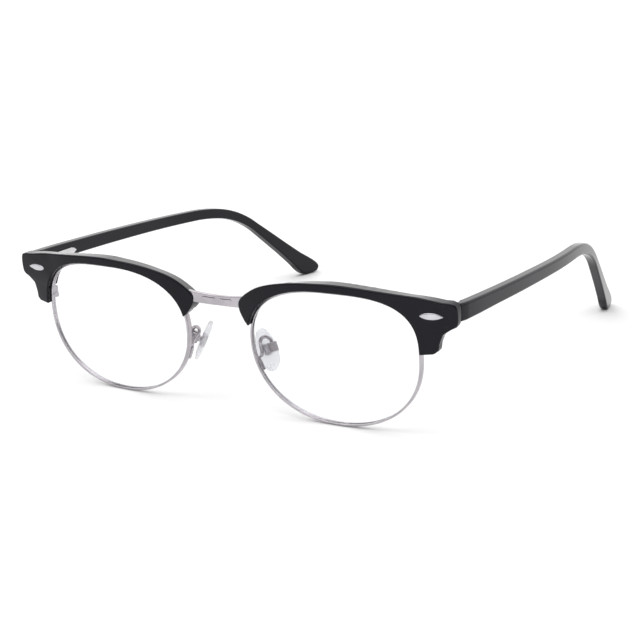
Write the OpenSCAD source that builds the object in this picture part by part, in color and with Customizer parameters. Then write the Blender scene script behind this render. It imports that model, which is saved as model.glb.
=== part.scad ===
// Half rim (browline) eyeglasses, adult medium size. Millimetres.
// +X is the wearer's left, +Y runs back along the temples, +Z is up.
// Each eye's own frame is u outward, d backward and w upward from the lens centre.

/* [Front] */
// Width of one lens, across the groove of its eyewire
lens_w = 48.7; // [48.2:0.1:49.2]
// Height of one lens, across the same groove
lens_h = 36.5; // [36.2:0.1:36.8]
// Gap between the two lenses at the nose
nose_gap = 20.3; // [19.8:0.1:20.8]
// Radius of the front curve of the lenses and eyewires
base_r = 118; // [112:124]
// Lean of the front, its top forward, in degrees
tilt = 6; // [5:0.5:7]
// Turn of each eye towards its temple, in degrees
wrap = 2.4; // [2:0.2:3]
// Width of the eyewire from front to back
rim_d = 1.7; // [1.6:0.05:1.8]
// Wall of the eyewire, measured outward from the lens opening
rim_t = 0.6; // [0.55:0.05:0.65]
// Thickness of the acetate brow from front to back
brow_d = 4.4; // [4.2:0.1:4.6]

/* [Temples] */
// Thickness of a temple, inner to outer face
temple_t = 3.0; // [2.8:0.1:3.2]
// Radius of the hinge knuckles
knuckle_r = 1.25; // [1.2:0.05:1.3]
// Radius of the hinge screw
hinge_screw_r = 0.6; // [0.5:0.05:0.65]

/* [Nose pads] */
// Length of a nose pad
pad_l = 12; // [11.5:0.1:12.5]
// Width of a nose pad
pad_w = 6.4; // [6:0.1:6.8]
// Thickness of a nose pad
pad_t = 1.8; // [1.7:0.1:1.9]
// Diameter of the pad arm wire
arm_wire = 1.0; // [0.9:0.1:1.1]

/* [Hidden] */

acetate = [0.10, 0.10, 0.13];
metal = [0.68, 0.65, 0.68];
silicone = [0.9, 0.92, 0.95, 0.6];
clear = [0.9, 0.95, 1.0, 0.3];

round_fn = 48;       // facets of round parts in a preview
slack = 0.05;        // room between pieces that are let into each other
mid_y = 72.37;       // middle of the whole object, front to back

// Lens opening: four quarters of a superellipse about a centre raised by mid_w
groove_t = 0.35;     // depth of the eyewire's groove
semi_u = lens_w / 2 - groove_t;
semi_top = lens_h / 2 - 2.5;
semi_low = lens_h / 2 + 1.8;
mid_w = 2;
power_top = [3.0, 2.35];   // outer and inner quarter above
power_low = [2.18, 2.1];   // outer and inner quarter below
eye_x = (lens_w + nose_gap) / 2;
low_w = semi_low + rim_t - mid_w;
low_d = low_w * low_w / (2 * base_r) - rim_d / 2;
eye_z = low_w * cos(tilt) - low_d * sin(tilt);

// Hinge
corner_x = eye_x + 34.25 * lens_w / 48.7;
butt_y = 5.0;                      // rear face of the front's corner
hinge_x = corner_x - 3.55;
hinge_y = butt_y + knuckle_r + 0.35;
hinge_z = eye_z + 15.05;
knuckle_h = 0.74;
knuckle_n = 5;
knuckle_gap = 0.05;
stack_h = knuckle_n * knuckle_h + (knuckle_n - 1) * knuckle_gap;

// ---- helpers ----

// Smooth curve through hand-placed points of any dimension
function spline(p, n = 4) = let (q = concat([2 * p[0] - p[1]], p, [2 * p[len(p) - 1] - p[len(p) - 2]]))
  concat([for (i = [1 : len(p) - 1], k = [0 : n - 1]) let (t = k / n)
    0.5 * (2 * q[i] + (q[i + 1] - q[i - 1]) * t
      + (2 * q[i - 1] - 5 * q[i] + 4 * q[i + 1] - q[i + 2]) * t * t
      + (3 * q[i] - q[i - 1] - 3 * q[i + 1] + q[i + 2]) * t * t * t)], [p[len(p) - 1]]);

function reverse(p) = [for (i = [len(p) - 1 : -1 : 0]) p[i]];

// A strip of the given width along a flat path
function strip(p, width) = let (
  turn = [for (i = [0 : len(p) - 1]) let (v = p[min(i + 1, len(p) - 1)] - p[max(i - 1, 0)]) [-v[1], v[0]] / norm(v)])
  concat([for (i = [0 : len(p) - 1]) p[i] + turn[i] * width / 2],
         reverse([for (i = [0 : len(p) - 1]) p[i] - turn[i] * width / 2]));

// Point of the lens opening at angle a, grown outward by g
function edge(a, g) = let (
  c = cos(a), s = sin(a), quarter = c >= 0 ? 0 : 1,
  n = s >= 0 ? power_top[quarter] : power_low[quarter],
  ru = semi_u + g, rw = (s >= 0 ? semi_top : semi_low) + g,
  k = pow(pow(abs(c) / ru, n) + pow(abs(s) / rw, n), -1 / n)) [k * c, mid_w + k * s];
function ring(g) = [for (i = [0 : 95]) edge(3.75 * i, g)];

module eye() translate([eye_x, 0, eye_z]) rotate([tilt, 0, wrap]) children();

// An outline in u and w, drawn right through from front to back
module slab(outline) translate([0, 20, 0]) rotate([90, 0, 0]) linear_extrude(40) polygon(outline);

// The space between two depths of the base curve
module dome(front, back) translate([0, base_r, 0]) difference() {
  sphere(r = base_r - front, $fn = 256);
  sphere(r = base_r - back, $fn = 256);
}

module bar(low, high) translate(low) cube(high - low);

// A point at depth d behind the base curve, u and w from the lens centre, in the object's frame
function eye_point(q, d) = let (
  y = base_r - sqrt(pow(base_r - d, 2) - q[0] * q[0] - q[1] * q[1]),
  back = y * cos(tilt) - q[1] * sin(tilt))
  [eye_x + q[0] * cos(wrap) - back * sin(wrap), q[0] * sin(wrap) + back * cos(wrap), eye_z + y * sin(tilt) + q[1] * cos(tilt)];

// Round wire swept along a path that lies roughly upright
module wire(p, r, n = 10) {
  last = len(p) - 1;
  rings = [for (i = [0 : last]) let (
    v = p[min(i + 1, last)] - p[max(i - 1, 0)], t = v / norm(v),
    side = cross(t, [0, 1, 0]) / norm(cross(t, [0, 1, 0])), up = cross(side, t))
    for (k = [0 : n - 1]) p[i] + r * (cos(360 * k / n) * side + sin(360 * k / n) * up)];
  polyhedron(rings, concat(
    [[for (k = [0 : n - 1]) k]], [[for (k = [n - 1 : -1 : 0]) last * n + k]],
    [for (i = [0 : last - 1], k = [0 : n - 1]) let (m = (k + 1) % n) each
      [[i * n + k, (i + 1) * n + k, (i + 1) * n + m], [i * n + k, (i + 1) * n + m, i * n + m]]]));
}

// ---- eyewire, lens and the closing block ----

split_w = 6.4;          // height of the eyewire's cut
split_gap = 0.2;
groove_w = 1.0;

module rim() color(metal) eye() difference() {
  intersection() {
    difference() { slab(ring(rim_t)); slab(ring(0)); }
    dome(-rim_d / 2, rim_d / 2);
  }
  intersection() { slab(ring(groove_t)); dome(-groove_w / 2, groove_w / 2); }
  bar([semi_u - 2, -10, split_w - split_gap / 2], [semi_u + 3, 15, split_w + split_gap / 2]);
}

lens_t = 1.0;

module lens() color(clear) eye() {
  intersection() { slab(ring(-slack)); dome(-lens_t / 2, lens_t / 2); }
  intersection() { slab(ring(groove_t - slack)); dome(-groove_w / 2 + 0.1, groove_w / 2 - 0.1); }
}

lock_u = semi_u + 1.9;
lock_d = (lock_u * lock_u + split_w * split_w) / (2 * base_r) + rim_d / 2 + 0.95;
lock_half = 1.5;      // height of each half of the block
lock_screw_r = 0.45;

module lock_place() translate([lock_u, lock_d, split_w]) rotate([0, 0, asin(lock_u / base_r)]) children();

module lock_block() color(metal) eye() lock_place() for (s = [-1, 1]) mirror([0, 0, s > 0 ? 0 : 1]) difference() {
  bar([-1.6, -0.75, split_gap / 2], [1.3, 0.75, split_gap / 2 + lock_half]);
  cylinder(r = lock_screw_r + 0.02, h = 5, $fn = round_fn);
}

module lock_screw() color(metal) eye() lock_place() translate([0, 0, -lock_half - split_gap / 2]) {
  translate([0, 0, -0.4]) difference() {
    cylinder(r = 0.7, h = 0.4, $fn = round_fn);
    bar([-2, -0.1, -0.1], [2, 0.1, 0.2]);
  }
  cylinder(r = lock_screw_r, h = 2 * lock_half + split_gap, $fn = round_fn);
}

// ---- brow ----

// Outer edge of the brow from the outer leg, over the top, to the nasal point
brow_leg = [[22, 4.4], [28.2, 4.4], [29.0, 4.7], [29.4, 5.4], [29.6, 7.1]];
brow_edge = [[29.6, 7.1], [31, 10], [33.8, 11.5], [34.5, 12.7], [34.5, 16], [33.7, 17.6], [30.5, 18], [25, 18.8],
             [6, 20.5], [-4, 20.4], [-12, 19.6], [-19, 18], [-23.5, 15.9], [-27, 13], [-27.2, 10.5], [-25.5, 7.5],
             [-22.9, 5.5]];
// How steeply the brow's top falls away towards the back, by position across it
brow_fall = [[-30, 0.36], [-15, 0.36], [0, 0.19], [22, 0.21], [34.5, 0]];
brow_scale = [lens_w / 48.7, lens_h / 36.5];
brow_outline = [for (q = concat(brow_leg, spline(brow_edge), [[-21, 6.2]])) [q[0] * brow_scale[0], q[1] * brow_scale[1]]];
lip_g = 0.5;          // how far its opening stands out beyond the lens opening
lip_w = [9, 6.2];     // where the rear lip ends, outer and nasal side

// Plan of the corner's flatter front face, in the leaning frame
corner_plan = [[-13, 12], [-13, 1.8], [-9, 2.4], [-5, 3.0], [-2.4, 3.4], [-1.1, 4.0], [-0.4, 4.9], [0, 6.4], [0, 12]];

// The outline carried from front to back, its top falling away and its nose end drawing in
module sloping(outline) {
  n = len(outline);
  polyhedron([for (y = [-12, 12], q = outline) let (
      in = 0.12 * max(0, min(1, (-16 - q[0]) / 8)), fall = lookup(q[0], brow_fall) * max(0, min(1, (q[1] - 7) / 6)))
      [q[0] + in * (y - 0.8), y, q[1] - fall * (y - 0.8)]],
    concat([[for (k = [n - 1 : -1 : 0]) k]], [[for (k = [0 : n - 1]) n + k]],
      [for (k = [0 : n - 1]) let (m = (k + 1) % n) each [[k, n + m, n + k], [k, m, n + m]]]));
}

module lean() translate([corner_x, 0, eye_z]) rotate([tilt, 0, 0]) children();

module brow() color(acetate) difference() {
  intersection() {
    eye() intersection() { slab(brow_outline); sloping(brow_outline); }
    union() {
      eye() dome(-brow_d / 2, brow_d / 2);
      lean() translate([0, 0, 11.8]) linear_extrude(10) polygon(corner_plan);
    }
    bar([0, -20, 0], [100, butt_y, 60]);
  }
  eye() {
    slab(ring(lip_g));
    intersection() { slab(ring(rim_t + slack)); dome(-rim_d / 2 - slack, rim_d / 2 + slack); }
    intersection() { dome(rim_d / 2, 12); bar([15, -5, 0], [40, 20, lip_w[0]]); }
    intersection() { dome(rim_d / 2, 12); bar([-40, -5, 0], [-15, 20, lip_w[1]]); }
    intersection() { dome(tab_d[0] - slack, 12); tab_bar(slack); }
    translate([tab_u, 0, tab_w]) rotate([-90, 0, 0]) cylinder(r = brow_screw_r + 0.02, h = 3.8, $fn = round_fn);
  }
  band(slack);
  hinge_plate(slack);
  lean() for (s = [-1, 1]) rivet_place() translate([s * rivet_pitch / 2, 0, 0]) rotate([-90, 0, 0])
    cylinder(r = rivet_r + 0.02, h = 6, $fn = round_fn);
  lean() rivet_place() translate([0, -1, 0]) rotate([-90, 0, 0]) marquise(1.15, slack);
}

// ---- the corner's pointed oval plate with its two studs ----

rivet_l = 6.3;
rivet_w = 1.8;
rivet_pitch = 3.0;
rivet_r = 0.45;
rivet_proud = 0.25;

module rivet_place() translate([-6.3, 2.8, 14.2]) rotate([0, 0, 8.7]) children();

module marquise(h, grow = 0) {
  arc_r = (rivet_l * rivet_l + rivet_w * rivet_w) / (4 * rivet_w);
  intersection_for(s = [-1, 1]) translate([0, s * (arc_r - rivet_w / 2), 0])
    cylinder(r = arc_r + grow, h = h, $fn = 180);
}

module brow_rivet() color([0.86, 0.86, 0.88]) lean() rivet_place() {
  translate([0, -rivet_proud, 0]) rotate([-90, 0, 0]) marquise(rivet_proud + 0.15);
  for (s = [-1, 1]) translate([s * rivet_pitch / 2, 0, 0]) rotate([-90, 0, 0])
    cylinder(r = rivet_r, h = 2.6, $fn = round_fn);
}

// ---- tab on the eyewire and the screw that holds the brow ----

tab_u = 22.8;
tab_w = 15.6;
tab_d = [0.4, 1.2];
tab_sag = (tab_u * tab_u + tab_w * tab_w) / (2 * base_r);
brow_screw_r = 0.45;

module tab_bar(grow) bar([19, -5, tab_w - 1.3 - grow], [tab_u + 1.3 + grow, 15, tab_w + 1.3 + grow]);

module brow_tab() color(metal) eye() difference() {
  intersection() { dome(tab_d[0], tab_d[1]); tab_bar(0); }
  slab(ring(rim_t));
  translate([tab_u, 0, tab_w]) rotate([-90, 0, 0]) cylinder(r = brow_screw_r + 0.02, h = 12, $fn = round_fn);
}

module brow_screw() color(metal) eye() translate([tab_u, tab_sag + tab_d[1] + 0.26, tab_w]) {
  rotate([90, 0, 0]) cylinder(r = brow_screw_r, h = 2.7, $fn = round_fn);
  difference() {
    rotate([-90, 0, 0]) cylinder(r = 0.85, h = 0.5, $fn = round_fn);
    bar([-2, 0.3, -0.12], [2, 1, 0.12]);
  }
}

// ---- bridge ----

bridge_t = 1.1;
bridge_plan = [[-13, -0.4], [-10.5, -0.6], [-7.5, -0.45], [-4, 0.1], [0, 0.45], [4, 0.1], [7.5, -0.45], [10.5, -0.6], [13, -0.4]];
bridge_top = [[-13, 14.55], [-8, 13.85], [-4, 13.3], [0, 13.1], [4, 13.3], [8, 13.85], [13, 14.55]];
bridge_low = [[13, 10.95], [8, 10.75], [4, 10.45], [0, 10.35], [-4, 10.45], [-8, 10.75], [-13, 10.95]];

module band(grow) intersection() {
  translate([0, bridge_t / 2, 0]) linear_extrude(60) polygon(strip(spline(bridge_plan), bridge_t + 2 * grow));
  translate([0, 10, eye_z]) rotate([90, 0, 0]) linear_extrude(20) polygon(concat(
    [for (q = spline(bridge_top)) q + [0, grow]], [for (q = spline(bridge_low)) q - [0, grow]]));
}

module bridge() color(metal) difference() {
  band(0);
  for (m = [0, 1]) mirror([m, 0, 0]) eye() slab(ring(rim_t));
}

// ---- nose pads ----

pad_at = [10.3, 8.0, 16.05];
pad_turn = [5.5, -24, -30];
pivot_d = 2.5;        // screw axis, measured from the pad's middle

module pad_place() translate(pad_at) rotate(pad_turn) children();

// Teardrop, broad end below
function pad_outline() = [for (a = [0 : 9 : 351]) [pad_w / 2 * cos(a) * (1 - 0.13 * sin(a)), pad_l / 2 * sin(a)]];

module nose_pad() color(silicone) pad_place() difference() {
  translate([-pad_t / 2, 0, 0]) rotate([90, 0, 90]) linear_extrude(pad_t) polygon(pad_outline());
  bar([-0.2, -1.05, -1.65], [0.2, 1.05, 1.65]);
  rotate([0, 90, 0]) cylinder(r = 0.85, h = 3, $fn = round_fn);
}

module pad_insert() color(metal) pad_place() {
  bar([-0.15, -1, -1.6], [0.15, 1, 1.6]);
  rotate([0, 90, 0]) cylinder(r = 0.8, h = 1.2, $fn = round_fn);
  difference() {
    union() {
      bar([1.1, -0.4, -0.85], [pivot_d, 0.4, 0.85]);
      translate([pivot_d, 0.4, 0]) rotate([90, 0, 0]) cylinder(r = 0.85, h = 0.8, $fn = round_fn);
    }
    translate([pivot_d, 1, 0]) rotate([90, 0, 0]) cylinder(r = pad_screw_r + 0.05, h = 2, $fn = round_fn);
  }
}

pad_screw_r = 0.4;
box_back = 4.4;       // back of the box, measured from the pad's middle

module pad_box() color(metal) pad_place() difference() {
  bar([1.45, -1.35, -1.35], [box_back, 1.35, 1.35]);
  bar([1, -0.5, -3], [pivot_d + 1, 0.5, 3]);
  translate([pivot_d, 3, 0]) rotate([90, 0, 0]) cylinder(r = pad_screw_r + 0.02, h = 6, $fn = round_fn);
}

module pad_screw() color(metal) pad_place() translate([pivot_d, 0, 0]) {
  translate([0, 1.35, 0]) rotate([90, 0, 0]) cylinder(r = pad_screw_r, h = 2.7, $fn = round_fn);
  translate([0, 1.35, 0]) difference() {
    rotate([-90, 0, 0]) cylinder(r = 0.8, h = 0.4, $fn = round_fn);
    bar([-2, 0.25, -0.1], [2, 1, 0.1]);
  }
}

// The arm runs up the back of the eyewire, loops over and comes down on top of the box
arm_foot = [for (a = [202, 198, 194]) eye_point(edge(a, rim_t / 2), rim_d / 2 + arm_wire / 2 + 0.02)];
arm_top = pad_at + [2.527, -1.645, 2.836];
arm_loop = [[11.3, 3.95, 15.9], [10.75, 4.6, 17.4], [10.0, 5.3, 18.7], [10.1, 5.75, 19.7], [11.0, 6.1, 20.2],
            [12.05, 6.35, 19.95], arm_top + [-0.2, 0.06, 0.45], arm_top];

module pad_arm() color(metal) wire(spline(concat(arm_foot, arm_loop), 2), arm_wire / 2);

// ---- hinge ----

module knuckles(first, bore) translate([hinge_x, hinge_y, hinge_z - stack_h / 2])
  for (i = [first : 2 : knuckle_n - 1]) translate([0, 0, i * (knuckle_h + knuckle_gap)]) difference() {
    union() {
      cylinder(r = knuckle_r, h = knuckle_h, $fn = round_fn);
      children();
    }
    translate([0, 0, -1]) cylinder(r = bore, h = knuckle_h + 2, $fn = round_fn);
  }

plate_t = 0.8;
plate_h = 3.4;

// Front leaf, let into the rear face of the corner
module hinge_plate(grow) bar(
  [hinge_x - 6.4 - grow, butt_y - plate_t - grow, hinge_z - plate_h / 2 - grow],
  [hinge_x + 0.6 + grow, butt_y + grow, hinge_z + plate_h / 2 + grow]);

module hinge_front() color(metal) {
  hinge_plate(0);
  knuckles(0, hinge_screw_r + 0.02) bar([-1.0, butt_y - hinge_y, 0], [0.6, 0, knuckle_h]);
}

module hinge_screw() color(metal) translate([hinge_x, hinge_y, hinge_z]) {
  translate([0, 0, -stack_h / 2]) cylinder(r = hinge_screw_r, h = stack_h, $fn = round_fn);
  translate([0, 0, stack_h / 2]) difference() {
    cylinder(r = 1.05, h = 0.45, $fn = round_fn);
    bar([-2, -0.12, 0.25], [2, 0.12, 1]);
  }
}

// Temple leaf: a long tongue with a pointed end on the temple's inner face
tongue_l = 18;
tongue_turn = -3;
tongue = [[1.65, -1.7], [15.5, -1.7], [16.8, -1.3], [tongue_l, -0.6], [16.8, 0.2], [15.5, 0.5], [4.5, 0.5], [1.65, 1.4]];

module tongue_solid(grow) translate([hinge_x, hinge_y, hinge_z - 0.15]) rotate([0, 0, tongue_turn])
  translate([0.85 - grow, 0, 0]) rotate([90, 0, 90]) linear_extrude(0.9 + 2 * grow)
    polygon([for (q = tongue) [q[0] + grow * sign(q[0] - 5), q[1] + grow * sign(q[1])]]);

module hinge_temple() color(metal) {
  tongue_solid(0);
  knuckles(1, hinge_screw_r + 0.05) bar([0, 0, 0], [1.5, 2.0, knuckle_h]);
}

// ---- temple ----

// Outer face from above, x measured from the corner, then y
temple_plan = [[0, 5.05], [0.7, 8], [1.4, 20], [1.8, 45], [0.8, 75], [-3.5, 108], [-11, 149]];
// Side view: how far the centre line has turned down, and the temple's breadth, by distance along it
temple_turn = [[0, 0], [20, 1.2], [80, 2], [92, 10.5], [112, 36], [150, 38]];
temple_broad = [[0, 4.7], [20, 4.1], [60, 3.6], [90, 3.4], [112, 3], [130, 4.4], [150, 6.8]];
temple_front = [5.05, 33.6];
tip_s = 138;          // distance along at which the tip begins
temple_tip = [[143, 6], [146, 4], [147.5, 2.5], [147, 0.8], [145.5, 0.2], [143.5, 0], [140, 0.4], [137, 2.4]];
core_s = [20, 134];   // where the core wire starts and ends
core_h = 1.5;

function stride(s, step) = let (a = lookup(s + step / 2, temple_turn)) step * [cos(a), -sin(a)];
centre_line = [for (s = 0, p = temple_front; s <= tip_s; p = p + stride(s, 2), s = s + 2) [p, s]];
function beside(q, reach) = let (a = lookup(q[1], temple_turn)) q[0] + reach * [sin(a), cos(a)];
temple_top = [for (q = centre_line) beside(q, lookup(q[1], temple_broad) / 2)];
temple_low = reverse([for (q = centre_line) beside(q, -lookup(q[1], temple_broad) / 2)]);
tip_curve = spline(concat([temple_top[len(temple_top) - 1]], temple_tip, [temple_low[0]]));
core_line = [for (q = centre_line) if (q[1] >= core_s[0] && q[1] <= core_s[1]) q[0]];
outer_face = [for (q = spline(temple_plan)) [corner_x + q[0], q[1]]];

function plan_between(a, b) = concat([for (q = outer_face) q - [a, 0]], reverse([for (q = outer_face) q - [b, 0]]));

module side_cut(outline) translate([40, 0, 0]) rotate([90, 0, 90]) linear_extrude(50) polygon(outline);

module core(grow) intersection() {
  side_cut(strip(core_line, core_h + 2 * grow));
  linear_extrude(60) polygon(plan_between(temple_t / 2 - 0.4 - grow, temple_t / 2 + 0.4 + grow));
}

module temple() color(acetate) difference() {
  intersection() {
    side_cut(concat(temple_top, [for (i = [1 : len(tip_curve) - 2]) tip_curve[i]], temple_low));
    linear_extrude(60) polygon(plan_between(0, temple_t));
  }
  tongue_solid(0.03);
  translate([hinge_x, hinge_y, 20]) cylinder(r = knuckle_r + 0.25, h = 30, $fn = round_fn);
  translate([hinge_x, hinge_y, hinge_z - stack_h / 2 - 0.1])
    bar([-1, 0, 0], [1.55, 2.1, stack_h + 0.2]);
  core(0.03);
}

module temple_core() color(metal) core(0);

// ---- the object ----

module left() translate([0, -mid_y, 0]) children();
module right() translate([0, -mid_y, 0]) mirror([1, 0, 0]) children();

left() bridge();
left() rim();  // rim_left
right() rim();  // rim_right
left() lock_block();  // lock_block_left
right() lock_block();  // lock_block_right
left() lock_screw();  // lock_screw_left
right() lock_screw();  // lock_screw_right
left() lens();  // lens_left
right() lens();  // lens_right
left() brow();  // brow_left
right() brow();  // brow_right
left() brow_rivet();  // brow_rivet_left
right() brow_rivet();  // brow_rivet_right
left() brow_tab();  // brow_tab_left
right() brow_tab();  // brow_tab_right
left() brow_screw();  // brow_screw_left
right() brow_screw();  // brow_screw_right
left() pad_arm();  // pad_arm_left
right() pad_arm();  // pad_arm_right
left() pad_box();  // pad_box_left
right() pad_box();  // pad_box_right
left() pad_screw();  // pad_screw_left
right() pad_screw();  // pad_screw_right
left() pad_insert();  // pad_insert_left
right() pad_insert();  // pad_insert_right
left() nose_pad();  // nose_pad_left
right() nose_pad();  // nose_pad_right
left() hinge_front();  // hinge_front_left
right() hinge_front();  // hinge_front_right
left() hinge_screw();  // hinge_screw_left
right() hinge_screw();  // hinge_screw_right
left() hinge_temple();  // hinge_temple_left
right() hinge_temple();  // hinge_temple_right
left() temple();  // temple_left
right() temple();  // temple_right
left() temple_core();  // temple_core_left
right() temple_core();  // temple_core_right
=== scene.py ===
"""Half rim (browline) eyeglasses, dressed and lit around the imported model.

Sizes are in millimetres unless said.
"""
import bmesh
import bpy
from math import atan2, cos, degrees, radians, sin, sqrt
from mathutils import Euler, Matrix, Vector


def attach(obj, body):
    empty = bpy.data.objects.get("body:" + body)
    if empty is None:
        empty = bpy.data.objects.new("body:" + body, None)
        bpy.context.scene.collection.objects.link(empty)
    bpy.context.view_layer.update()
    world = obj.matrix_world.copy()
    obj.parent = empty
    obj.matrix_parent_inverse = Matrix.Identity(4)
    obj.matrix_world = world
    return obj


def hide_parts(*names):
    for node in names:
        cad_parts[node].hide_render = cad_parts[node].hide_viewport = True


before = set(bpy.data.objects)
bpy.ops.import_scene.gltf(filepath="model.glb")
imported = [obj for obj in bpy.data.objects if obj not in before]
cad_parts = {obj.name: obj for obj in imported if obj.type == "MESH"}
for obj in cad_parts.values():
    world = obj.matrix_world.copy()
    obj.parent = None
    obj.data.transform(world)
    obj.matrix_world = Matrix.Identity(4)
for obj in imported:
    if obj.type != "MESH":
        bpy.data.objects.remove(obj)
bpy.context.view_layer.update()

# ---- Eyewires ----
# A thin silver-grey wire is rolled with a groove for the lens, bent round a former and cut beside the
# temple, where a small screwed block closes it. The wire follows the front curve of the lens.

SIDES = {"left": 1, "right": -1}
MIDDLE_Y = 72.37                      # from the bridge back to the middle of the whole object
EYE_X, EYE_Z = 34.5, 18.483
TILT, WRAP = radians(6), radians(2.4)
BASE_R = 118
OPEN_U, OPEN_TOP, OPEN_LOW, OPEN_MID = 24.0, 15.75, 20.05, 2.0
POWERS = {(1, 1): 3.0, (-1, 1): 2.35, (1, -1): 2.18, (-1, -1): 2.1}


def edge(angle, grow):
    """Point of the lens opening in a direction in degrees, grown outward; u is outward, w is up."""
    c, s = cos(radians(angle)), sin(radians(angle))
    power = POWERS[(1 if c >= 0 else -1, 1 if s >= 0 else -1)]
    across, up = OPEN_U + grow, (OPEN_TOP if s >= 0 else OPEN_LOW) + grow
    k = (abs(c / across) ** power + abs(s / up) ** power) ** (-1 / power)
    return k * c, OPEN_MID + k * s


def curve_y(u, w, depth):
    """How far back the lens curve lies at u, w, at a depth behind its middle surface."""
    return BASE_R - sqrt((BASE_R - depth) ** 2 - u * u - w * w)


def from_eye(u, y, w):
    """From an eye's own leaning frame to the object's."""
    back, up = y * cos(TILT) - w * sin(TILT), y * sin(TILT) + w * cos(TILT)
    return EYE_X + u * cos(WRAP) - back * sin(WRAP), u * sin(WRAP) + back * cos(WRAP), EYE_Z + up


def on_eye(u, w, depth):
    return from_eye(u, curve_y(u, w, depth), w)


def smooth_curve(points, steps):
    """Even curve through given points of any dimension."""
    ends = [[2 * a - b for a, b in zip(points[0], points[1])], *points,
            [2 * a - b for a, b in zip(points[-1], points[-2])]]
    out = []
    for i in range(1, len(points)):
        for k in range(steps):
            t = k / steps
            out.append([0.5 * (2 * b + (c - a) * t
                               + (2 * a - 5 * b + 4 * c - d) * t ** 2
                               + (3 * b - a - 3 * c + d) * t ** 3)
                        for a, b, c, d in zip(*ends[i - 1:i + 3])])
    return out + [list(points[-1])]


def finish(obj, body, material, stands_for):
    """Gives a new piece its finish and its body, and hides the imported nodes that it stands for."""
    obj.data.materials.append(material)
    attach(obj, body)
    if stands_for:
        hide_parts(*stands_for)
    return obj


def to_row(side, x, y, z):
    """A point in millimetres on the wearer's left, carried to its side in metres about the middle."""
    return side * x / 1000, (y - MIDDLE_Y) / 1000, z / 1000


def loft(name, rings, side, soft=None, fade=None, crease=40):
    """A closed skin over rings of points.

    soft gives bevel weights by place in the ring, with 'ends' for the two caps. fade, one value
    for each ring, scales them along the piece. Without soft, edges past crease degrees are sharp.
    """
    n = len(rings[0])
    last = (len(rings) - 1) * n
    mesh = bpy.data.meshes.new(name)
    verts = [to_row(side, *point) for ring in rings for point in ring]
    faces = [(i + k, i + (k + 1) % n, i + n + (k + 1) % n, i + n + k)
             for i in range(0, last, n) for k in range(n)]
    faces += [tuple(range(n)), tuple(range(last, last + n))]
    mesh.from_pydata(verts, [], faces)
    work = bmesh.new()
    work.from_mesh(mesh)
    bmesh.ops.recalc_face_normals(work, faces=work.faces)
    if soft:
        weights = work.edges.layers.float.new("bevel_weight_edge")
        for e in work.edges:
            a, b = sorted(v.index for v in e.verts)
            if a % n == b % n:
                e[weights] = soft.get(a % n, 0) * (min(fade[a // n], fade[b // n]) if fade else 1)
            elif b < n or a >= last:
                e[weights] = soft.get("ends", 0) * (fade[a // n] if fade else 1)
    work.to_mesh(mesh)
    work.free()
    mesh.shade_smooth()
    if not soft:
        mesh.set_sharp_from_angle(angle=radians(crease))
    obj = bpy.data.objects.new(name, mesh)
    bpy.context.scene.collection.objects.link(obj)
    return obj


def soften(obj, width, segments):
    """Rounds the weighted edges with a live bevel."""
    bevel = obj.modifiers.new("rounded edges", "BEVEL")
    bevel.limit_method = "WEIGHT"
    bevel.width = width / 1000
    bevel.segments = segments
    bevel.use_clamp_overlap = False
    bevel.harden_normals = True
    return obj


MARKS_IO = (("Smudge Scale", "INPUT"), ("Scratch Scale", "INPUT"),
            ("Smudge", "OUTPUT"), ("Height", "OUTPUT"))
GRAIN_SCALE, GRAIN_SHARE = 2600, 0.35


def marks_group():
    """Fine handling marks: a soft smudge mask, and a height of brushed scratches with a little grain."""
    group = bpy.data.node_groups.new("handling marks", "ShaderNodeTree")
    for label, kind in MARKS_IO:
        group.interface.new_socket(label, in_out=kind, socket_type="NodeSocketFloat")
    nodes = group.nodes
    inlet = nodes.new("NodeGroupInput").outputs
    outlet = nodes.new("NodeGroupOutput").inputs
    place = nodes.new("ShaderNodeTexCoord").outputs["Object"]
    smudge, scratch, grain = (nodes.new("ShaderNodeTexNoise") for _ in range(3))
    smudge.inputs["Detail"].default_value = 3
    scratch.inputs["Detail"].default_value = 6
    grain.inputs["Scale"].default_value = GRAIN_SCALE
    stretch = nodes.new("ShaderNodeMapping")
    stretch.inputs["Scale"].default_value = (1, 0.12, 1)
    stretch.inputs["Rotation"].default_value = (0.3, 0.2, 0.5)
    blend = nodes.new("ShaderNodeMath")
    blend.operation = "MULTIPLY_ADD"
    blend.inputs[1].default_value = GRAIN_SHARE
    for source, target in ((place, smudge.inputs["Vector"]),
                           (place, stretch.inputs["Vector"]),
                           (stretch.outputs["Vector"], scratch.inputs["Vector"]),
                           (place, grain.inputs["Vector"]),
                           (inlet["Smudge Scale"], smudge.inputs["Scale"]),
                           (inlet["Scratch Scale"], scratch.inputs["Scale"]),
                           (grain.outputs["Fac"], blend.inputs[0]),
                           (scratch.outputs["Fac"], blend.inputs[2]),
                           (smudge.outputs["Fac"], outlet["Smudge"]),
                           (blend.outputs[0], outlet["Height"])):
        group.links.new(source, target)
    return group


marks = marks_group()
RELIEF_DEPTH = 0.00002                # of the bump, in metres


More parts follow.
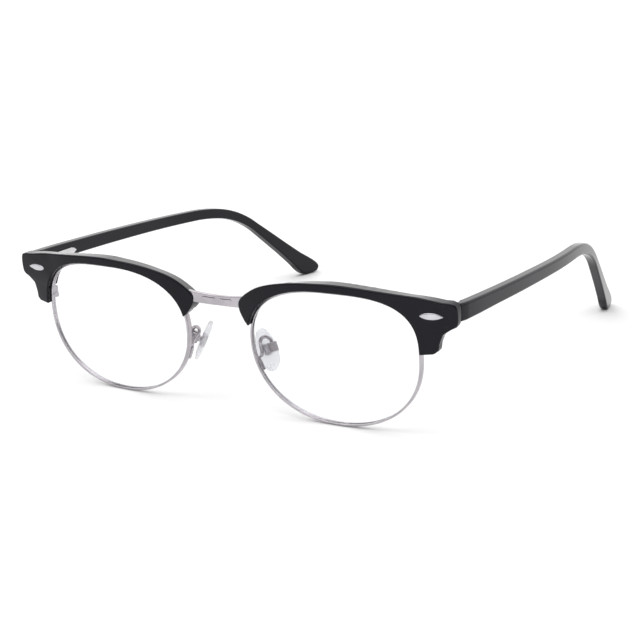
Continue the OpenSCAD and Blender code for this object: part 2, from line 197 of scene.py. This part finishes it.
def surface(name, dark, light, rough, bump, scales, **plain):
    """A finish whose colour and gloss drift slightly over it, with fine marks.

    rough is its range of roughness, scales those of its smudges and scratches; plain sets the
    shader's own sockets.
    """
    material = bpy.data.materials.new(name)
    material.use_nodes = True
    nodes = material.node_tree.nodes
    shader = nodes["Principled BSDF"].inputs
    worn = nodes.new("ShaderNodeGroup")
    worn.node_tree = marks
    worn.inputs["Smudge Scale"].default_value, worn.inputs["Scratch Scale"].default_value = scales
    tone = nodes.new("ShaderNodeValToRGB")
    for stop, position, colour in zip(tone.color_ramp.elements, (0.35, 0.65), (dark, light)):
        stop.position = position
        stop.color = (*colour, 1)
    gloss = nodes.new("ShaderNodeMapRange")
    for socket, value in zip(("From Min", "From Max", "To Min", "To Max"), (0.3, 0.7, *rough)):
        gloss.inputs[socket].default_value = value
    relief = nodes.new("ShaderNodeBump")
    relief.inputs["Strength"].default_value = bump
    relief.inputs["Distance"].default_value = RELIEF_DEPTH
    for source, target in ((worn.outputs["Smudge"], tone.inputs["Fac"]),
                           (tone.outputs["Color"], shader["Base Color"]),
                           (worn.outputs["Smudge"], gloss.inputs["Value"]),
                           (gloss.outputs["Result"], shader["Roughness"]),
                           (worn.outputs["Height"], relief.inputs["Height"]),
                           (relief.outputs["Normal"], shader["Normal"])):
        material.node_tree.links.new(source, target)
    for socket, value in plain.items():
        shader[socket.replace("_", " ")].default_value = value
    return material


plated = surface("silver grey plating", (0.42, 0.395, 0.42), (0.51, 0.48, 0.51), (0.2, 0.3), 0.25,
                 (260, 1500), Metallic=1.0)

SPLIT_ANGLE, HALF_SPLIT = 10.3, 0.24  # where the eyewire is cut, in degrees
WIRE_STEPS = 180
# Section of the wire: outward from the lens opening, and back from the middle of the lens
WIRE = ((0.05, -0.85), (0.45, -0.85), (0.6, -0.6), (0.6, 0.6), (0.45, 0.85), (0.05, 0.85),
        (0.0, 0.8), (0.0, 0.5), (0.35, 0.2), (0.35, -0.2), (0.0, -0.5), (0.0, -0.8))
wire_angles = [SPLIT_ANGLE + HALF_SPLIT + (360 - 2 * HALF_SPLIT) * i / WIRE_STEPS
               for i in range(WIRE_STEPS + 1)]
for name, side in SIDES.items():
    rings = [[on_eye(*edge(a, grow), depth) for grow, depth in WIRE] for a in wire_angles]
    finish(loft(f"eyewire_{name}", rings, side), "front", plated, [f"rim_{name}"])

# ---- Lenses ----
# Each is a clear meniscus of lens plastic, 1 mm thick, whose bevelled edge sits in the groove of its
# eyewire.

LENS_T = 1.0
clear = bpy.data.materials.new("clear lens plastic")
clear.use_nodes = True
for socket, value in (("Base Color", (0.985, 0.992, 1, 1)), ("Roughness", 0.0), ("IOR", 1.12),
                      ("Transmission Weight", 1.0)):
    clear.node_tree.nodes["Principled BSDF"].inputs[socket].default_value = value

LENS_PLAY = 0.05                      # between the lens and its eyewire
BEVEL_OUT, BEVEL_HALF = 0.28, 0.1
LENS_ROWS = (0.02, 0.2, 0.4, 0.6, 0.8, 0.95, 1.0)
lens_angles = [2.5 * i for i in range(144)]
lens_skin = ([(r, 0, -LENS_T / 2) for r in LENS_ROWS]
             + [(1, BEVEL_OUT, -BEVEL_HALF), (1, BEVEL_OUT, BEVEL_HALF)]
             + [(r, 0, LENS_T / 2) for r in reversed(LENS_ROWS)])
for name, side in SIDES.items():
    rings = []
    for r, grow, depth in lens_skin:
        outline = [edge(a, grow - LENS_PLAY) for a in lens_angles]
        rings.append([on_eye(r * u, OPEN_MID + r * (w - OPEN_MID), depth) for u, w in outline])
    lens = finish(loft(f"lens_plastic_{name}", rings, side), "front", clear, [f"lens_{name}"])
    lens.visible_shadow = False

# ---- Closing blocks ----
# Two small halves of the same metal are brazed behind the cut ends of each eyewire and drawn together by
# a screw.

steel = surface("bright screw steel", (0.52, 0.51, 0.53), (0.66, 0.65, 0.67), (0.14, 0.24), 0.2,
                (400, 2600), Metallic=1.0)


def refinish(base, material):
    """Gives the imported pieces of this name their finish, on both sides."""
    for node in (f"{base}_left", f"{base}_right"):
        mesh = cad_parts[node].data
        mesh.materials.clear()
        mesh.materials.append(material)


refinish("lock_block", plated)
refinish("lock_screw", steel)

# ---- Brows ----
# Milled from near-black acetate sheet and tumbled to a deep gloss. Each caps the top of its eyewire with
# a lip in front and behind, thickens into a block at the temple and runs down the outer side in a short leg.

acetate = surface("polished acetate", (0.004, 0.0042, 0.0075), (0.007, 0.0074, 0.012), (0.06, 0.12), 0.08,
                  (60, 500), Specular_IOR_Level=0.19)

BROW_D, LIP = 4.4, 0.5
CORNER_X, BUTT_Y = 68.75, 4.93
CORNER_U = 34.3                       # the temple side of the corner, in the eye's frame
# Outer edge from the leg over the top to the nose, in the eye's frame
BROW_EDGE = ((28.2, 4.4), (29.0, 4.7), (29.4, 5.4), (29.6, 7.1), (31, 10), (33.8, 11.5), (34.5, 12.7),
             (34.5, 16), (33.7, 17.6), (30.5, 18), (25, 18.8), (6, 20.5), (-4, 20.4), (-12, 19.6),
             (-19, 18), (-23.5, 15.9), (-27, 13), (-27.2, 10.5), (-25.5, 7.5), (-24.5, 6.55))
# Where the corner's flatter face lies, by distance from its temple side
CORNER_FACE = ((-13, 1.8), (-9, 2.4), (-5, 3.0), (-2.4, 3.4), (0, 3.8), (2, 4.1))
# How steeply the top falls towards the back, by position across the brow
FALL = ((-30, 0.36), (-15, 0.36), (0, 0.19), (22, 0.21), (34.5, 0.0), (40, 0.0))


def reading(table, x):
    """Straight-line reading of a table of pairs."""
    x = min(max(x, table[0][0]), table[-1][0])
    for (x0, y0), (x1, y1) in zip(table, table[1:]):
        if x <= x1:
            return y0 + (y1 - y0) * (x - x0) / (x1 - x0)
    return table[-1][1]


def ramp(x, low, high):
    """Rises in a straight line from 0 at low to 1 at high."""
    return min(max((x - low) / (high - low), 0), 1)


def step(x, low, high):
    """Rises smoothly from 0 at low to 1 at high."""
    t = ramp(x, low, high)
    return t * t * (3 - 2 * t)


REAR_LIP = (15.9, 167.2)              # the rear lip runs between these directions, in degrees
CHANNEL_D = 0.86                      # past them, the back stops at the eyewire
LIP_STEP = 0.05
BROW_STEPS, THINNEST = 110, 0.35
EASE_U, EASE_W = (23, 28), (9, 12.5)  # over these spans the front eases into the corner's flatter face
FALL_W, NOSE_U = (7, 13), (16, 24)    # over these the fall, and the drawing in at the nose, set in
FALL_FROM, NOSE_DRAW = 0.8, 0.12      # how far back they start, and how steeply the nose end draws in


def brow_front(u, w):
    """Front face: the lens curve, eased forward into a flatter face on the corner block."""
    y = curve_y(u, w, -BROW_D / 2)
    flat = reading(CORNER_FACE, u - CORNER_U) - u * sin(WRAP) if u > 20 else y
    lead = (y - flat) * step(u, *EASE_U) * step(w, *EASE_W)
    return y - max(0, lead)


def brow_back(u, w, depth):
    """Rear face: the lens curve, cut off flat where the temple butts against the corner."""
    butt = ((BUTT_Y - u * sin(WRAP)) / cos(WRAP) + w * sin(TILT)) / cos(TILT)
    return min(curve_y(u, w, depth), butt)


def brow_rings():
    """Sections of the brow, by direction from the lens centre: three points in front, three behind."""
    outline = sorted((degrees(atan2(w - OPEN_MID, u)), sqrt(u * u + (w - OPEN_MID) ** 2))
                     for u, w in smooth_curve(BROW_EDGE, 8))
    first, last = outline[0][0], outline[-1][0]
    angles = {first + (last - first) * i / BROW_STEPS for i in range(BROW_STEPS + 1)}
    angles |= {REAR_LIP[0], REAR_LIP[0] + LIP_STEP, REAR_LIP[1], REAR_LIP[1] + LIP_STEP}
    for angle in sorted(angles):
        c, s = cos(radians(angle)), sin(radians(angle))
        u, w = edge(angle, LIP)
        inner = sqrt(u * u + (w - OPEN_MID) ** 2)
        outer = max(reading(outline, angle), inner + THINNEST)
        lipped = REAR_LIP[0] + LIP_STEP / 2 < angle < REAR_LIP[1] + LIP_STEP / 2
        depth = BROW_D / 2 if lipped else CHANNEL_D
        points = [(r * c, OPEN_MID + r * s) for r in (inner, inner + 0.5 * (outer - inner), outer)]
        front = [(u, brow_front(u, w), w) for u, w in points]
        back = []
        for share, (u, w) in zip((1, 0.5, 0), reversed(points)):
            behind = brow_back(u, w, depth) - FALL_FROM
            fall = reading(FALL, u) * ramp(w, *FALL_W) * share
            draw_in = NOSE_DRAW * ramp(-u, *NOSE_U) * share
            back.append((u + draw_in * behind, behind + FALL_FROM, w - fall * behind))
        yield [from_eye(*p) for p in front + back]


rings = list(brow_rings())
fade = [min(1, 0.8 * sqrt(sum((a - b) ** 2 for a, b in zip(ring[0], ring[2])))) for ring in rings]
brow_soft = {0: 1.0, 2: 1.0, 3: 0.8, 5: 0.3, "ends": 0.5}
for name, side in SIDES.items():
    brow = loft(f"acetate_brow_{name}", rings, side, soft=brow_soft, fade=fade)
    finish(soften(brow, 0.5, 4), "front", acetate, [f"brow_{name}"])

# ---- Corner plates ----
# A bright leaf-shaped plate is let into the front of each corner, pointed towards the temple, and
# riveted through.

bright = surface("polished bright plate", (0.54, 0.53, 0.56), (0.64, 0.63, 0.66), (0.14, 0.24), 0.15,
                 (300, 2200), Metallic=1.0)

PLATE_L, PLATE_W = 6.3, 1.8
PLATE_AT, PLATE_SPIN = (-6.3, 2.8, 14.2), radians(8.7)
LEAF_POINTS = 48


def from_corner(x, y, z):
    """From the flat frame of the corner plate, x outward, y inward and z up, to the object's."""
    c, s = cos(PLATE_SPIN), sin(PLATE_SPIN)
    x, y = PLATE_AT[0] + x * c - y * s, PLATE_AT[1] + x * s + y * c
    z += PLATE_AT[2]
    return CORNER_X + x, y * cos(TILT) - z * sin(TILT), EYE_Z + y * sin(TILT) + z * cos(TILT)


def leaf(shrink):
    """Leaf outline: pointed at the outer end, rounder at the inner one."""
    out = []
    for i in range(LEAF_POINTS):
        t = radians(360 / LEAF_POINTS * i)
        x = PLATE_L / 2 * cos(t)
        fullness, blunt = (1.9, 1) if x > 0 else (2.4, 0.72)
        width = PLATE_W / 2 * (1 - abs(2 * x / PLATE_L) ** fullness) ** blunt
        out.append((x * shrink, (width if sin(t) >= 0 else -width) * (1 - (1 - shrink) * 2.2)))
    return out


# How far each row of the plate lies behind the face, and its share of the full outline
PLATE_ROWS = ((0.3, 1), (-0.12, 1), (-0.22, 0.96), (-0.26, 0.88), (-0.28, 0.7), (-0.29, 0.56))
for name, side in SIDES.items():
    rings = [[from_corner(x, depth, z) for x, z in leaf(shrink)] for depth, shrink in PLATE_ROWS]
    plate = loft(f"corner_plate_{name}", rings, side, crease=50)
    finish(plate, "front", bright, [f"brow_rivet_{name}"])

# ---- Brow tabs and screws ----
# A small tab is brazed to the top outer corner of each eyewire, and a screw through it from behind holds
# the brow.

refinish("brow_tab", plated)
refinish("brow_screw", steel)

# ---- Bridge ----
# A flat arched strip of the same metal joins the eyewires. Along its front runs a fine engraved line,
# its shade painted as a thin dark strip, broken in the middle by a small bright bead.

BRIDGE_T = 1.1
BRIDGE_HALF, BRIDGE_STEPS = 12.48, 104
BRIDGE_PLAN = ((-13, -0.4), (-10.5, -0.6), (-7.5, -0.45), (-4, 0.1), (0, 0.45),
               (4, 0.1), (7.5, -0.45), (10.5, -0.6), (13, -0.4))
BRIDGE_TOP = ((-13, 14.55), (-8, 13.85), (-4, 13.3), (0, 13.1), (4, 13.3), (8, 13.85), (13, 14.55))
BRIDGE_LOW = ((-13, 10.95), (-8, 10.75), (-4, 10.45), (0, 10.35), (4, 10.45), (8, 10.75), (13, 10.95))

plan, top, low = (smooth_curve(p, 12) for p in (BRIDGE_PLAN, BRIDGE_TOP, BRIDGE_LOW))
rings = []
for i in range(BRIDGE_STEPS + 1):
    x = -BRIDGE_HALF + 2 * BRIDGE_HALF / BRIDGE_STEPS * i
    y, z1, z0 = reading(plan, x), EYE_Z + reading(top, x), EYE_Z + reading(low, x)
    rows = [(0, z1), (0, 0.5 * (z0 + z1)), (0, z0), (BRIDGE_T, z0), (BRIDGE_T, z1)]
    rings.append([(x, y + back, z) for back, z in rows])
bridge = loft("arched_bridge", rings, 1, soft={0: 1.0, 2: 1.0, 3: 1.0, 4: 1.0})
finish(soften(bridge, 0.3, 3), "front", plated, ["bridge"])

# Painted shade: the engraved line is not cut; a thin dark strip laid just proud of the bridge face stands
# for the shade inside it.
painted_groove_shade = surface("painted groove shade", (0.05, 0.04, 0.05), (0.09, 0.075, 0.085), (0.4, 0.6), 0.2, (500, 2500))
LINE_FROM, LINE_STEP, LINE_HALF, LINE_D = 0.85, 0.21, 0.1, 0.3
LINE_DOWN, LINE_DROP, LINE_PROUD = 0.82, 0.35, 0.02
for name, side in SIDES.items():
    strip = []
    for i in range(19):
        x = LINE_FROM + LINE_STEP * i
        y = reading(plan, x) - LINE_PROUD
        z = EYE_Z + reading(top, x) - LINE_DOWN - LINE_DROP * step(x, 4.35, 4.65)
        strip.append([(x, y, z + LINE_HALF), (x, y, z - LINE_HALF),
                      (x, y + LINE_D, z - LINE_HALF), (x, y + LINE_D, z + LINE_HALF)])
    finish(loft(f"bridge_line_{name}", strip, side), "front", painted_groove_shade, [])

BEAD_R, BEAD_Y, BEAD_Z = 0.34, 0.45, EYE_Z + 12.28
# Each row's share of the bead's radius, and how far it stands proud
BEAD_ROWS = ((1, -0.25), (1, 0.02), (0.9, 0.1), (0.62, 0.17), (0.2, 0.2))
bead = []
for share, height in BEAD_ROWS:
    r = BEAD_R * share
    bead.append([(r * cos(radians(a)), BEAD_Y - height, BEAD_Z + r * sin(radians(a)))
                 for a in range(0, 360, 20)])
finish(loft("bridge_bead", bead, 1), "front", bright, [])

# ---- Pad arms ----
# A round wire is brazed up the back of each eyewire on the nose side and looped over into a box for the pad.

PAD_AT = Vector((10.3, 8.0, 16.05))
PAD_TURN = Euler((radians(5.5), radians(-24), radians(-30))).to_matrix()
ARM_R = 0.5


def from_pad(x, y, z):
    """From a pad's own frame to the object's: x away from the nose, y across the pad, z along it."""
    return tuple(PAD_AT + PAD_TURN @ Vector((x, y, z)))


foot = [on_eye(*edge(a, 0.3), 0.85 + ARM_R + 0.02) for a in (202, 198, 194)]
arm_end = from_pad(3.95, 0, 1.36)
before_end = tuple(a + b for a, b in zip(arm_end, (-0.2, 0.06, 0.45)))
ARM_LOOP = [(11.3, 3.95, 15.9), (10.75, 4.6, 17.4), (10.0, 5.3, 18.7), (10.1, 5.75, 19.7),
            (11.0, 6.1, 20.2), (12.05, 6.35, 19.95)]
arm_path = smooth_curve([*foot, *ARM_LOOP, before_end, arm_end], 4)
for name, side in SIDES.items():
    line = bpy.data.curves.new(f"pad_wire_{name}", "CURVE")
    line.dimensions = "3D"
    line.bevel_depth = ARM_R / 1000
    line.bevel_resolution = 4
    line.use_fill_caps = True
    spline = line.splines.new("POLY")
    spline.points.add(len(arm_path) - 1)
    for point, place in zip(spline.points, arm_path):
        point.co = (*to_row(side, *place), 1)
    wire = bpy.data.objects.new(f"pad_wire_{name}", line)
    bpy.context.scene.collection.objects.link(wire)
    finish(wire, "front", plated, [f"pad_arm_{name}"])

# ---- Pad boxes ----
# A stamped box with open cheeks takes the tongue of the nose pad; a cross screw holds it so that the pad
# can rock.

BOX_PLAN = ((1.5, -1.33), (4.38, -1.33), (4.38, 1.33), (1.5, 1.33),
            (1.5, 0.5), (3.5, 0.5), (3.5, -0.5), (1.5, -0.5))
BOX_SOFT = {0: 1, 1: 1, 2: 1, 3: 1, 4: 0.3, 7: 0.3, "ends": 0.6}
for name, side in SIDES.items():
    rings = [[from_pad(x, y, z) for x, y in BOX_PLAN] for z in (-1.33, -0.4, 0.4, 1.33)]
    box = loft(f"pad_clamp_{name}", rings, side, soft=BOX_SOFT)
    finish(soften(box, 0.3, 3), "front", plated, [f"pad_box_{name}"])
refinish("pad_screw", steel)

# ---- Nose pads ----
# Soft clear silicone is moulded over a small metal plate with a tongue. Each pad is a shallow teardrop,
# narrower at the top.

silicone = surface("clear silicone", (0.93, 0.935, 0.96), (0.97, 0.975, 0.99), (0.25, 0.4), 0.15,
                   (300, 1600), IOR=1.2, Transmission_Weight=0.65)

PAD_L, PAD_W, PAD_T = 12.0, 6.4, 1.8
PAD_TAPER, PAD_FULL = 0.13, 0.4       # how much narrower at the top; how square the rim is
for name, side in SIDES.items():
    rings = []
    for k in range(13):
        lift = radians(-84 + 14 * k)
        r, x = cos(lift) ** PAD_FULL, PAD_T / 2 * sin(lift)
        ring = []
        for a in range(0, 360, 10):
            c, s = cos(radians(a)), sin(radians(a))
            ring.append(from_pad(x, PAD_W / 2 * r * c * (1 - PAD_TAPER * s), PAD_L / 2 * r * s))
        rings.append(ring)
    pad = loft(f"silicone_pad_{name}", rings, side, crease=180)
    finish(pad, f"nose_rest_{name}", silicone, [f"nose_pad_{name}"])
refinish("pad_insert", plated)

# ---- Hinges ----
# Five bright knuckles turn on a slotted screw. One leaf is let into the corner; the other is a pointed
# tongue along the inner face of the temple.

leaf_metal = surface("nickel silver", (0.55, 0.54, 0.55), (0.68, 0.67, 0.68), (0.18, 0.3), 0.25,
                     (300, 1800), Metallic=1.0)
refinish("hinge_front", leaf_metal)
refinish("hinge_temple", leaf_metal)
refinish("hinge_screw", steel)

# ---- Temples ----
# Each is milled from the same acetate round a flat wire, polished all over, bent down behind the ear and
# widened slightly at its tip. Its front end is relieved on the inside so that the hinge can turn.

TEMPLE_T = 3.0
TEMPLE_FRONT = (5.05, 33.6)
# Outer face from above, measured outward from the corner, by distance back
TEMPLE_PLAN = ((0, -0.2), (5.05, 0), (8, 0.7), (20, 1.4), (45, 1.8), (75, 0.8), (108, -3.5), (149, -11))
# How far the centre line has turned down, in degrees, and the breadth, by distance along it
TEMPLE_TURN = ((0, 0), (20, 1.2), (80, 2), (92, 10.5), (112, 36), (150, 38))
TEMPLE_BROAD = ((0, 4.7), (20, 4.1), (60, 3.6), (90, 3.4), (112, 3), (130, 4.4), (150, 6.8))
TIP_S = 138                           # distance along at which the tip begins
TIP_TOP = ((143, 6), (146, 4), (147.3, 2.7), (147.45, 1.9))
TIP_LOW = ((137, 2.4), (140, 0.4), (143.5, 0.05), (146.3, 0.45))
RELIEF_Y, RELIEF_X = 8.25, 66.78      # the inside is cut back to this face, up to this place


def temple_edges():
    """Upper and lower edge from the side, walked along the centre line to the start of the tip."""
    y, z = TEMPLE_FRONT
    upper, lower = [], []
    for s in range(0, TIP_S + 1):
        turn, half = radians(reading(TEMPLE_TURN, s)), reading(TEMPLE_BROAD, s) / 2
        if s % 2 == 0:
            upper.append((y + half * sin(turn), z + half * cos(turn)))
            lower.append((y - half * sin(turn), z - half * cos(turn)))
        turn = radians(reading(TEMPLE_TURN, s + 0.5))
        y, z = y + cos(turn), z - sin(turn)
    return (upper[:-1] + smooth_curve([upper[-1], *TIP_TOP], 5),
            lower[:-1] + smooth_curve([lower[-1], *TIP_LOW], 5))


temple_face = smooth_curve(TEMPLE_PLAN, 6)
upper, lower = temple_edges()
for line in (upper, lower):           # two sections close together make the relief's step
    z = 0.5 * (line[1][1] + line[2][1])
    line[2:2] = [(RELIEF_Y - 0.03, z), (RELIEF_Y + 0.05, z)]
rings = []
for (y1, z1), (y0, z0) in zip(upper, lower):
    outer1, outer0 = (CORNER_X + reading(temple_face, y) for y in (y1, y0))
    inner1, inner0 = outer1 - TEMPLE_T, outer0 - TEMPLE_T
    if y1 < RELIEF_Y:
        inner1 = inner0 = RELIEF_X
    middle = (0.5 * (y1 + y0), 0.5 * (z1 + z0))
    rings.append([(outer1, y1, z1), (0.5 * (outer1 + outer0), *middle), (outer0, y0, z0),
                  (inner0, y0, z0), (0.5 * (inner1 + inner0), *middle), (inner1, y1, z1)])
temple_soft = {0: 1, 2: 0.8, 3: 0.7, 5: 0.8, "ends": 0.35}
for name, side in SIDES.items():
    temple = loft(f"acetate_temple_{name}", rings, side, soft=temple_soft)
    finish(soften(temple, 0.75, 4), f"temple_arm_{name}", acetate, [f"temple_{name}"])
refinish("temple_core", leaf_metal)

# ---- Studio ----
# A plain pale floor under a white sky that is brightest behind and above, one wide soft light overhead,
# and the camera.

FLOOR_HALF = 6                        # metres
floor_mesh = bpy.data.meshes.new("floor")
floor_corners = [(FLOOR_HALF * x, FLOOR_HALF * y, 0) for x, y in ((-1, -1), (1, -1), (1, 1), (-1, 1))]
floor_mesh.from_pydata(floor_corners, [], [(0, 1, 2, 3)])
floor = bpy.data.objects.new("floor", floor_mesh)
bpy.context.scene.collection.objects.link(floor)
floor_mesh.materials.append(surface("pale floor", (0.93, 0.93, 0.93), (0.95, 0.95, 0.95), (0.8, 0.9), 0.0,
                                    (3, 9)))

SKY_FROM, SKY_RANGE, SKY_STRENGTH = (-0.15, 0.55, 0.82), (-0.35, 0.75), (0.2, 1.25)
world = bpy.data.worlds.new("studio")
world.use_nodes = True
nodes, links = world.node_tree.nodes, world.node_tree.links
look = nodes.new("ShaderNodeTexCoord")
part = nodes.new("ShaderNodeVectorMath")
part.operation = "DOT_PRODUCT"
part.inputs[1].default_value = SKY_FROM
grade = nodes.new("ShaderNodeMapRange")
grade.interpolation_type = "SMOOTHSTEP"
for socket, value in zip(("From Min", "From Max", "To Min", "To Max"), SKY_RANGE + SKY_STRENGTH):
    grade.inputs[socket].default_value = value
links.new(look.outputs["Generated"], part.inputs[0])
links.new(part.outputs["Value"], grade.inputs["Value"])
links.new(grade.outputs["Result"], nodes["Background"].inputs["Strength"])
nodes["Background"].inputs["Color"].default_value = (1, 1, 1, 1)
bpy.context.scene.world = world
bpy.context.scene.view_settings.view_transform = "Standard"

sun = bpy.data.objects.new("broad soft light", bpy.data.lights.new("broad soft light", "SUN"))
sun.data.energy, sun.data.angle = 0.7, radians(50)
sun.rotation_euler = (radians(25), radians(-15), 0)
bpy.context.scene.collection.objects.link(sun)

AZIMUTH, ELEVATION, ROLL = radians(30.015), radians(13.723), radians(-1.301)
TARGET, DISTANCE = Vector((0, -0.01167, 0.02435)), 0.44354     # metres
forward = Vector((-sin(AZIMUTH) * cos(ELEVATION), cos(AZIMUTH) * cos(ELEVATION), -sin(ELEVATION)))
level = Vector((cos(AZIMUTH), sin(AZIMUTH), 0))
upward = level.cross(forward)
right = cos(ROLL) * level + sin(ROLL) * upward
upward = -sin(ROLL) * level + cos(ROLL) * upward
camera = bpy.data.objects.new("camera", bpy.data.cameras.new("camera"))
camera.data.sensor_width, camera.data.lens = 36, 83.15
camera.data.shift_x, camera.data.shift_y = -0.0168, -0.0740
axes = Matrix((right, upward, -forward)).transposed().to_4x4()
camera.matrix_world = Matrix.Translation(TARGET - DISTANCE * forward) @ axes
bpy.context.scene.collection.objects.link(camera)
bpy.context.scene.camera = camera
